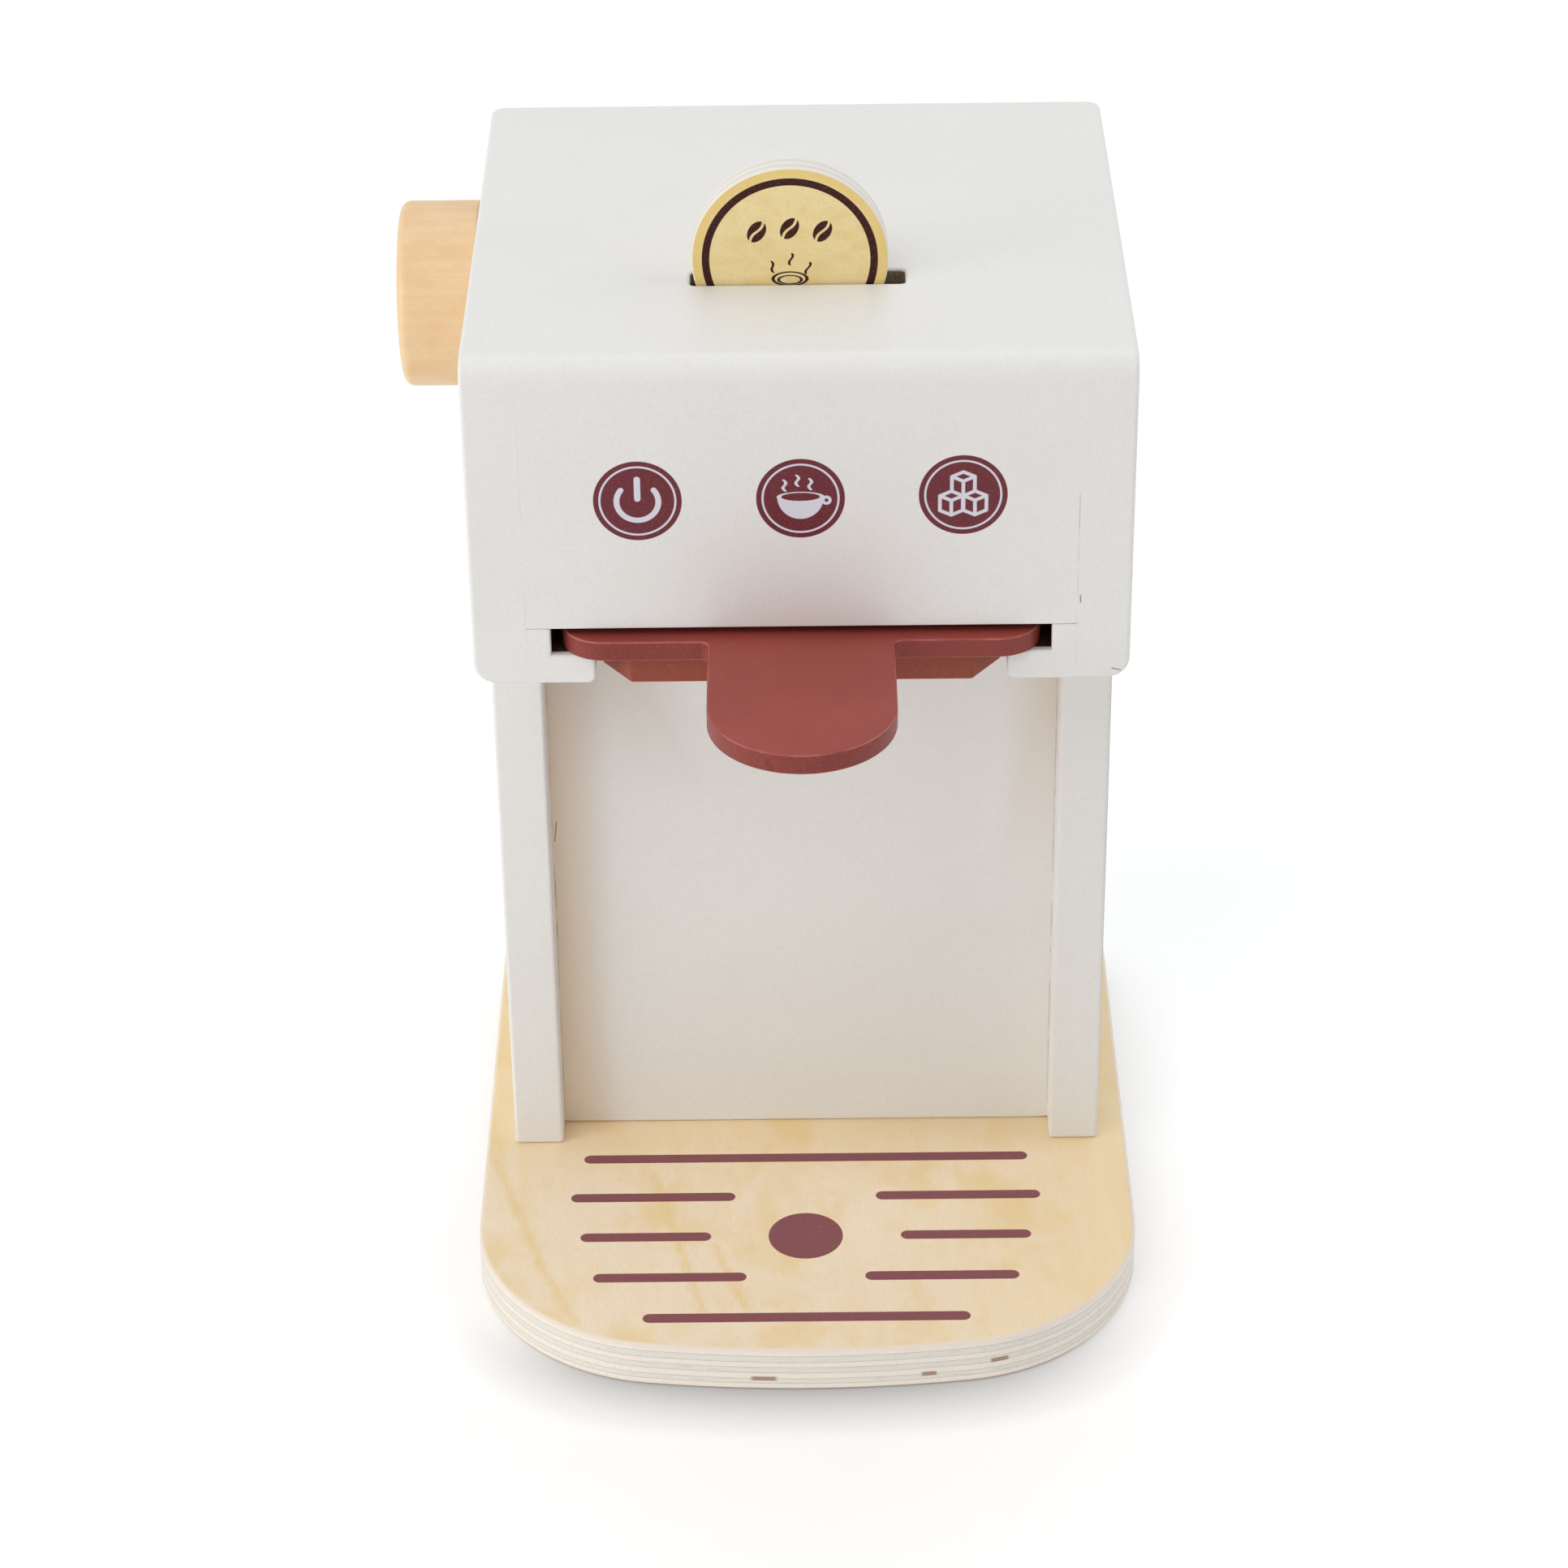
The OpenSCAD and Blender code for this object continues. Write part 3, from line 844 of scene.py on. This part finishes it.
@dataclass(frozen=True)
class Beech(Finish):
    """Oiled beech whose grain runs along X, with its fine flecks."""

    tone: Colour = tint(240, 207, 163)
    late: Colour = tint(230, 188, 136)
    fleck: Colour = tint(200, 152, 102)
    bare: Colour = tint(240, 212, 172)
    pith: Pair = (7.0, 167.8)
    swirl: Pattern = Pattern((60.0, 11.0, 11.0), detail=2.0, seed=4.0)
    swirl_reach: float = 3.0
    ring_pitch: float = 2.6
    ring_share: float = 0.20
    cloud: Pattern = Pattern((9.0, 6.0, 6.0), (0.42, 0.66, 0.45), 61.0)
    fibre: Pattern = Pattern((12.0, 0.45, 0.45), (0.45, 0.75, 0.32), 8.0)
    dash: Pattern = Pattern((1.8, 0.22, 0.30), (0.60, 0.76, 0.35), 13.0, 2.0)
    dash_relief: float = 0.6
    rim_tilt: float = 0.7
    rim: Pair = (0.25, 0.2)
    rim_share: float = 0.5
    sheen: Sheen = Sheen(0.46, 0.25, 0.02)

    def coat(self, spot: Spot) -> Coat:
        """Works out the wood at a spot, with its pith as a place along Y and Z."""
        swirl = self.swirl.draw(spot) * self.swirl_reach
        radius = length(spot.y - self.pith[0], spot.z - self.pith[1]) + swirl
        rings = (radius * (2.0 * math.pi / self.ring_pitch)).sine() * 0.5 + 0.5
        fibre, dash = self.fibre.draw(spot), self.dash.draw(spot)
        rim = inside(abs(abs(spot.face_x) - self.rim_tilt), *self.rim)
        layers = (
            (rings ** 2.0 * self.ring_share, self.late),
            (self.cloud.over(spot), self.late),
            (self.fibre.veil(fibre), self.late),
            (self.dash.veil(dash), self.fleck),
            (rim * self.rim_share, self.bare),
        )
        colour = spot.recipe.layered(self.tone, *layers)
        return Coat(colour, self.sheen.vary(fibre), fibre + dash * self.dash_relief)


@dataclass(frozen=True)
class CoinWood(Finish):
    """The coin's thin plywood: a yellow speckled face and a pale edge of fine plies."""

    centre: Pair = (-1.4, 213.6)
    front: float = -10.5
    tone: Colour = tint(247, 226, 170)
    deep: Colour = tint(240, 214, 148)
    speck: Colour = tint(214, 184, 116)
    border: Colour = tint(240, 206, 122)
    pale_ply: Colour = tint(240, 236, 227)
    grey_ply: Colour = tint(224, 220, 213)
    cloud: Pattern = Pattern((4.0, 4.0, 2.4), (0.38, 0.66, 0.7), detail=4.0)
    fleck: Pattern = Pattern((0.7, 0.7, 0.45), (0.52, 0.80, 0.5), 6.0)
    fibre: Pattern = Pattern((2.2, 0.25, 2.2), (0.5, 0.8, 0.3), 19.0)
    fibre_relief: float = 0.3
    border_from: Pair = (15.0, 17.0)
    border_share: float = 0.65
    grey_plies: tuple[Pair, ...] = ((1.1, 2.1), (3.3, 4.3))
    grey_share: float = 0.75
    face_tilt: Pair = (0.75, 0.97)
    sheen: Sheen = Sheen(0.5, 0.0, 0.02, 0.2)

    def coat(self, spot: Spot) -> Coat:
        """Works out the wood at a spot."""
        fleck, fibre = self.fleck.draw(spot), self.fibre.draw(spot)
        from_middle = length(spot.x - self.centre[0], spot.z - self.centre[1])
        face = spot.recipe.layered(
            self.tone,
            (self.cloud.over(spot), self.deep),
            (self.fleck.veil(fleck), self.speck),
            (from_middle.rise(*self.border_from) * self.border_share, self.border),
        )
        depth = spot.y - self.front
        grey = [inside(abs(depth - (a + b) / 2), (b - a) / 2) for a, b in self.grey_plies]
        colour = spot.recipe.layered(
            self.pale_ply,
            ((grey[0] | grey[1]) * self.grey_share, self.grey_ply),
            (self.fibre.veil(fibre), self.grey_ply),
            (abs(spot.face_y).rise(*self.face_tilt), face),
        )
        return Coat(colour, self.sheen.vary(), fleck + fibre * self.fibre_relief)


@dataclass(frozen=True)
class Felt(Finish):
    """Pressed grey felt."""

    tone: Colour = tint(150, 148, 144)
    dark: Colour = tint(116, 114, 112)
    fluff: Pattern = Pattern((0.5, 0.18, 0.5), (0.3, 0.7, 1.0), detail=4.0)
    fuzz: float = 0.3
    fuzz_rough: float = 0.6
    sheen: Sheen = Sheen(0.95, 0.0, 0.12)

    def coat(self, spot: Spot) -> Coat:
        """Works out the felt at a spot."""
        fluff = self.fluff.draw(spot)
        colour = spot.recipe.mix(self.fluff.veil(fluff), self.dark, self.tone)
        constants = {"Sheen Weight": self.fuzz, "Sheen Roughness": self.fuzz_rough}
        return Coat(colour, self.sheen.vary(), fluff, constants)


@dataclass(frozen=True)
class Steel(Finish):
    """Bright screw steel with fine turning marks."""

    tone: Colour = tint(196, 194, 188)
    dull: Colour = tint(168, 166, 160)
    cloud: Pattern = Pattern((1.5, 1.5, 1.5), (0.35, 0.7, 1.0))
    sheen: Sheen = Sheen(0.28, 0.3, 0.01)

    def coat(self, spot: Spot) -> Coat:
        """Works out the steel at a spot."""
        cloud = self.cloud.draw(spot)
        colour = spot.recipe.mix(self.cloud.veil(cloud), self.tone, self.dull)
        return Coat(colour, self.sheen.vary(cloud), cloud, {"Metallic": 1.0})


# --- Pieces ---


def add_object(name: str, data: bpy.types.ID) -> bpy.types.Object:
    """Makes an object around its data and links it to the scene."""
    made = bpy.data.objects.new(name, data)
    bpy.context.scene.collection.objects.link(made)
    return made


@dataclass
class Workshop:
    """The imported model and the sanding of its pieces."""

    nodes: dict[str, bpy.types.Object]
    flat_angle: float = math.radians(0.6)
    keen_angle: float = math.radians(32.0)
    crease_angle: float = math.radians(40.0)
    weld: float = 1e-6
    touch: float = 0.05 * MM
    fitting: float = 1.0 * MM
    tries: Triple = (0.2, 0.5, 0.8)
    segments: int = 3

    def __post_init__(self) -> None:
        """Prepares a search tree for each node, to find which edges meet a neighbour."""
        self.trees: dict[str, BVHTree] = {}
        for name, node in self.nodes.items():
            mesh = node.data
            places = [vertex.co.copy() for vertex in mesh.vertices]
            faces = [tuple(face.vertices) for face in mesh.polygons]
            self.trees[name] = BVHTree.FromPolygons(places, faces)

    def paint(self, node: str, material: bpy.types.Material) -> None:
        """Gives a CAD node its finish and keeps its shape."""
        piece = self.nodes[node]
        if not piece.material_slots:
            piece.data.materials.append(material)
        for slot in piece.material_slots:
            slot.material = material

    def is_keen(self, edge: bmesh.types.BMEdge) -> bool:
        """Tells whether an edge stands out, so that sanding reaches it."""
        return edge.is_convex and edge.calc_face_angle(0.0) > self.keen_angle

    def is_spared(self, edge: bmesh.types.BMEdge, box: Box) -> bool:
        """Tells whether the middle of an edge lies in a box that sanding leaves alone."""
        middle = (edge.verts[0].co + edge.verts[1].co) / (2.0 * MM)
        return all(low < place < high for low, place, high in zip(box[0], middle, box[1]))

    def meets(self, edge: bmesh.types.BMEdge, others: Sequence[str], reach: float) -> bool:
        """Tells whether an edge lies within reach of the other nodes along its length."""
        start, end = (vertex.co for vertex in edge.verts)
        for share in self.tries:
            place = start.lerp(end, share)
            found = (self.trees[name].find_nearest(place, reach)[0] for name in others)
            if all(hit is None for hit in found):
                return False
        return True

    def sand(
        self,
        node: str,
        body: Body,
        slot: Slot,
        material: bpy.types.Material,
        easing: float,
        glued_to: Sequence[str] = (),
        fittings: Sequence[str] = (),
        spared: Box = NOWHERE,
    ) -> None:
        """Makes the finished piece for a node: the same form with its edges sanded round.

        Args:
            node: The CAD node that the piece stands for.
            body: The body that it moves with.
            slot: The record's material slot; not used.
            material: Its finish.
            easing: How far its edges are sanded, in metres.
            glued_to: Nodes that it is glued flush against; edges there stay square.
            fittings: Nodes that sit in its holes; the holes' edges stay square.
            spared: A box, in millimetres, whose edges stay square.
        """
        shape = bmesh.new()
        shape.from_mesh(self.nodes[node].data)
        bmesh.ops.remove_doubles(shape, verts=shape.verts, dist=self.weld)
        bmesh.ops.dissolve_limit(
            shape, angle_limit=self.flat_angle, verts=shape.verts, edges=shape.edges
        )
        shape.normal_update()
        keen = [
            edge
            for edge in shape.edges
            if self.is_keen(edge)
            and not self.is_spared(edge, spared)
            and not self.meets(edge, glued_to, self.touch)
            and not self.meets(edge, fittings, self.fitting)
        ]
        bmesh.ops.bevel(
            shape,
            geom=keen,
            offset=easing,
            offset_type="OFFSET",
            segments=self.segments,
            profile=0.5,
            affect="EDGES",
            clamp_overlap=False,
        )
        for face in shape.faces:
            face.smooth = True
        for edge in shape.edges:
            edge.smooth = edge.calc_face_angle(0.0) < self.crease_angle
        mesh = bpy.data.meshes.new(node + "_finished")
        shape.to_mesh(mesh)
        shape.free()
        piece = add_object(node + "_finished", mesh)
        mesh.materials.append(material)
        normals = piece.modifiers.new("even shading", "WEIGHTED_NORMAL")
        normals.weight = 100
        normals.keep_sharp = True
        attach(piece, body)
        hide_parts(node)


@dataclass
class BaseBoard:
    """The plywood base with its drip print."""

    easing: float = 0.9 * MM
    mineral_lines: tuple[Line, ...] = (
        ((-64.2, -10.2), (-53.7, -44.4)),
        ((-53.7, -44.4), (-45.9, -63.9)),
        ((-31.1, -16.4), (-20.7, -61.7)),
        ((-18.8, -39.6), (-11.3, -61.9)),
    )
    knots: tuple[Triple, ...] = ((-8.8, 2.9, 2.7), (23.6, 2.9, 1.6), (37.5, 4.6, 1.9))

    def build(self, shop: Workshop) -> None:
        """Sands and dresses the base and its screws."""
        wood = Ply(knots=self.knots, mineral_lines=self.mineral_lines)
        printed = wood.dress("printed base plywood", DripPrint())
        slot, fittings = Slot.BASE_PLYWOOD, ["base_screws"]
        shop.sand("base_board", Body.FIXED, slot, printed, self.easing, (), fittings)
        shop.paint("base_screws", Steel().dress("screw steel"))


@dataclass
class PaintedBody:
    """The glued and painted boards: sides, top, front, panels and tray rails."""

    boards: tuple[str, ...] = (
        "left_side_board",
        "right_side_board",
        "top_panel",
        "bay_back_panel",
        "rear_panel",
        "left_tray_rail",
        "right_tray_rail",
        "front_panel",
    )
    fittings: tuple[str, ...] = ("base_screws", "glue_dowels")
    easing: float = 0.8 * MM
    front_easing: float = 0.3 * MM
    rail_easing: float = 0.5 * MM
    rest_easing: float = 0.4 * MM
    rest_low: float = 189.0
    notch_corner: Box = ((-61.0, -7.6, 140.45), (61.0, -4.4, 147.6))
    # Painted shade on the bay's back panel: warm darker tones at its left side, its top left under
    # the head and its upper right.
    left_shade: tuple[Colour, Colour] = (tint(233, 218, 199), tint(228, 211, 190))
    top_left_shade: tuple[Colour, Colour] = (tint(206, 197, 184), tint(200, 190, 175))
    right_shade: tuple[Colour, Colour] = (tint(228, 219, 207), tint(223, 213, 200))
    bay_corner_shade: tuple[ShadeBox, ...] = (
        ShadeBox((-90.0, -9.0, -30.0), (-37.0, 30.0, 175.0), *left_shade, (13.0, 1.0, 25.0)),
        ShadeBox((-90.0, -9.0, 88.0), (-18.0, 30.0, 230.0), *top_left_shade, (26.0, 1.0, 52.0)),
        ShadeBox((38.0, -9.0, 60.0), (90.0, 30.0, 230.0), *right_shade, (12.0, 1.0, 70.0)),
    )
    bay_seams: Seams = Seams(
        half_width=0.14,
        reach=(3.4, 3.0),
        lines=(
            ((50.4, 14.0), (50.4, 118.0), 0.40),
            ((-50.3, 52.0), (-50.3, 78.0), 0.60),
            ((-50.4, 12.0), (-50.4, 136.0), 0.30),
        ),
        chips=(((-50.0, 80.0), (-49.5, 84.5)),),
    )
    power_at: Pair = (-29.3, 181.4)
    cup_at: Pair = (0.1, 181.6)
    cubes_at: Pair = (29.4, 182.0)

    def build(self, shop: Workshop) -> None:
        """Sands and paints the boards, and prints the three signs on the front."""
        white = WhitePaint().dress("white paint", Seams())
        signs = PowerSign(self.power_at), CupSign(self.cup_at), CubesSign(self.cubes_at)
        printed = WhitePaint().dress("white paint with signs", Seams(), *signs)
        # The bay's back panel takes white paint with the painted corner shade.
        corner_shaded = WhitePaint(shade_boxes=self.bay_corner_shade).dress("thin white paint", self.bay_seams)
        paints = {"front_panel": printed, "bay_back_panel": corner_shaded}
        easings = {
            "front_panel": self.front_easing,
            "left_tray_rail": self.rail_easing,
            "right_tray_rail": self.rail_easing,
        }
        for board in self.boards:
            paint, easing = paints.get(board, white), easings.get(board, self.easing)
            around = [name for name in self.boards if name != board], self.fittings
            slot = Slot.WHITE_PAINT
            shop.sand(board, Body.FIXED, slot, paint, easing, *around, self.notch_corner)
        shop.paint("glue_dowels", Beech().dress("dowel beech"))
        bare = Ply(low=self.rest_low).dress("bare plywood")
        shop.sand("coin_rest", Body.FIXED, Slot.BARE_PLYWOOD, bare, self.rest_easing)


@dataclass
class Tray:
    """The red tray plate with its tongue, and the guide block under it."""

    plate: str = "tray_plate"
    block: str = "tray_guide_block"
    plate_easing: float = 0.45 * MM
    block_easing: float = 0.4 * MM
    block_paint: RedPaint = RedPaint(
        tint(152, 76, 58), tint(142, 68, 50), sheen=Sheen(0.6, 0.2, 0.02, 0.35)
    )

    def build(self, shop: Workshop) -> None:
        """Sands and paints the plate and the block."""
        red = RedPaint().dress("red paint")
        dull = self.block_paint.dress("dull red paint")
        slots = Slot.RED_PAINT, Slot.RED_PAINT_DULL
        shop.sand(self.plate, Body.TRAY, slots[0], red, self.plate_easing, [self.block])
        shop.sand(self.block, Body.TRAY, slots[1], dull, self.block_easing, [self.plate])


@dataclass
class Knob:
    """The beech knob with its axle, felt washer, inner disc and screw."""

    easing: float = 0.5 * MM

    def build(self, shop: Workshop) -> None:
        """Dresses the knob and what holds it."""
        beech = Beech().dress("knob beech")
        shop.sand("knob", Body.KNOB, Slot.KNOB_BEECH, beech, self.easing)
        for node in ("knob_axle", "knob_retaining_disc"):
            shop.paint(node, beech)
        shop.paint("knob_felt_washer", Felt().dress("grey felt"))
        shop.paint("knob_screw", Steel().dress("knob screw steel"))


@dataclass
class PlayCoin:
    """The plywood coin in the slot."""

    easing: float = 0.35 * MM

    def build(self, shop: Workshop) -> None:
        """Sands the coin and prints its face."""
        printed = CoinWood().dress("printed coin plywood", CoinPrint())
        shop.sand("coffee_coin", Body.COIN, Slot.COIN_PLYWOOD, printed, self.easing)


# --- Studio ---


@dataclass(frozen=True)
class Lamp:
    """One soft square lamp, with its place and size in metres."""

    name: str
    place: Triple
    size: float
    power: float
    colour: Triple = (1.0, 0.98, 0.95)
    target: Triple = (0.0, 0.0, 0.10)

    def hang(self) -> None:
        """Adds the lamp and aims it."""
        light = bpy.data.lights.new(self.name, "AREA")
        light.energy = self.power
        light.color = self.colour
        light.shape = "SQUARE"
        light.size = self.size
        lamp = add_object(self.name, light)
        lamp.location = self.place
        aim = Vector(self.target) - Vector(self.place)
        lamp.rotation_euler = aim.to_track_quat("-Z", "Y").to_euler()


@dataclass
class Studio:
    """A white floor under a soft white sky, with warm lamps at the front and cool ones behind.

    The floor shows a painted shade where it lies close to the toy, on top of the real shadow; the
    painted shade is weaker at the toy's sides than in front, and a glow of its own lifts it for the
    camera. Further away it fades to white.
    """

    sky: float = 0.47
    floor_size: float = 12.0
    floor_drop: float = 0.05 * MM
    side_lift: Colour = (0.24, 0.24, 0.24, 1.0)
    front_lift: Colour = (0.15, 0.15, 0.15, 1.0)
    front_from: Pair = (-45.0, -80.0)
    fade: Pair = (300.0, 800.0)
    shade: Colour = tint(96, 97, 99)
    shade_reach: float = 16 * MM
    shade_samples: int = 8
    side_share: float = 0.3
    lamps: tuple[Lamp, ...] = (
        Lamp("key lamp", (-0.60, -0.75, 1.50), 0.9, 4.6),
        Lamp("window lamp", (-1.35, -0.62, 0.50), 0.8, 7.2),
        Lamp("low card", (0.00, -1.10, 0.12), 0.6, 0.4),
        Lamp("right lamp", (1.30, 0.10, 1.20), 1.0, 5.5, (0.95, 0.975, 1.0)),
        Lamp("rear lamp", (0.00, 0.60, 1.70), 1.2, 5.2, (0.92, 0.965, 1.0)),
    )

    def build(self) -> None:
        """Lays the floor, lights the sky and hangs the lamps."""
        self._lay_floor()
        self._light_sky()
        for lamp in self.lamps:
            lamp.hang()
        bpy.context.scene.view_settings.view_transform = "Standard"

    def _lay_floor(self) -> None:
        """Makes the floor."""
        half = self.floor_size / 2
        mesh = bpy.data.meshes.new("floor")
        flat = [(-half, -half), (half, -half), (half, half), (-half, half)]
        mesh.from_pydata([(x, y, -self.floor_drop) for x, y in flat], [], [(0, 1, 2, 3)])
        floor = add_object("floor", mesh)
        mesh.materials.append(self._floor_paint())

    def _floor_paint(self) -> bpy.types.Material:
        """Mixes a paint that keeps the toy's soft shadow, adds a painted shade near the toy for the
        camera, and fades to white further away.
        """
        recipe = Recipe.material("white floor")
        spot = recipe.spot()
        settings, sockets = {"samples": self.shade_samples}, {"Distance": self.shade_reach}
        # Painted shade: for the camera, the floor's colour darkens where the toy hides its open air,
        # more in front than at the sides.
        open_air = recipe.node("ShaderNodeAmbientOcclusion", settings, sockets, "AO")
        seen = recipe.seen()
        front = spot.y.rise(*self.front_from)
        shaded = (1.0 - open_air ** 2.0) * (self.side_share + front * (1.0 - self.side_share))
        ground = recipe.mix(shaded * seen, WHITE, self.shade)
        matte = recipe.node("ShaderNodeBsdfDiffuse", {}, {"Color": ground})
        lift = recipe.mix(seen, BLACK, recipe.mix(front, self.side_lift, self.front_lift))
        glow = recipe.node("ShaderNodeEmission", {}, {"Color": lift})
        near = recipe.node("ShaderNodeAddShader", {}, {0: matte, 1: glow})
        blank = recipe.node("ShaderNodeEmission", {}, {"Color": WHITE})
        away = length(spot.x, spot.y).rise(*self.fade) * seen
        return recipe.show(recipe.node("ShaderNodeMixShader", {}, {0: away, 1: near, 2: blank}))

    def _light_sky(self) -> None:
        """Makes a sky that lights softly and shows white behind the toy."""
        world = bpy.data.worlds.new("soft sky")
        world.use_nodes = True
        bpy.context.scene.world = world
        recipe = Recipe(world)
        light = recipe.node("ShaderNodeBackground", {}, {"Color": WHITE, "Strength": self.sky})
        shown = recipe.node("ShaderNodeBackground", {}, {"Color": WHITE, "Strength": 1.0})
        both = recipe.node("ShaderNodeMixShader", {}, {0: recipe.seen(), 1: light, 2: shown})
        recipe.node("ShaderNodeOutputWorld", {}, {"Surface": both}, None)


@dataclass
class Viewpoint:
    """The camera, which looks down at the toy's front."""

    place: Triple = (-0.370 * MM, -740.431 * MM, 551.808 * MM)
    pitch: float = math.radians(31.692)
    roll: float = math.radians(-0.719)
    heading: float = math.radians(0.259)
    focus_pixels: float = 5390.471
    frame_pixels: float = 1932.0
    sensor: float = 36.0
    reach: float = 50.0

    def build(self) -> None:
        """Places the camera and makes it the scene's own."""
        camera = bpy.data.cameras.new("camera")
        camera.sensor_fit = "HORIZONTAL"
        camera.sensor_width = self.sensor
        camera.lens = self.focus_pixels / self.frame_pixels * self.sensor
        camera.clip_end = self.reach
        holder = add_object("camera", camera)
        turn = Matrix.Rotation(self.heading, 4, "Z")
        turn = turn @ Matrix.Rotation(math.pi / 2 - self.pitch, 4, "X")
        turn = turn @ Matrix.Rotation(self.roll, 4, "Z")
        holder.matrix_world = Matrix.Translation(self.place) @ turn
        bpy.context.scene.camera = holder


def main() -> None:
    """Builds the whole scene."""
    logging.basicConfig(level=logging.INFO, format="%(name)s: %(message)s")
    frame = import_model()
    Viewpoint().build()
    log.info("camera placed")
    Studio().build()
    log.info("studio lit")
    shop = Workshop(frame["nodes"])
    for part in (BaseBoard(), PaintedBody(), Tray(), Knob(), PlayCoin()):
        part.build(shop)
        log.info("%s built", type(part).__name__)


if __name__ == "__main__":
    main()
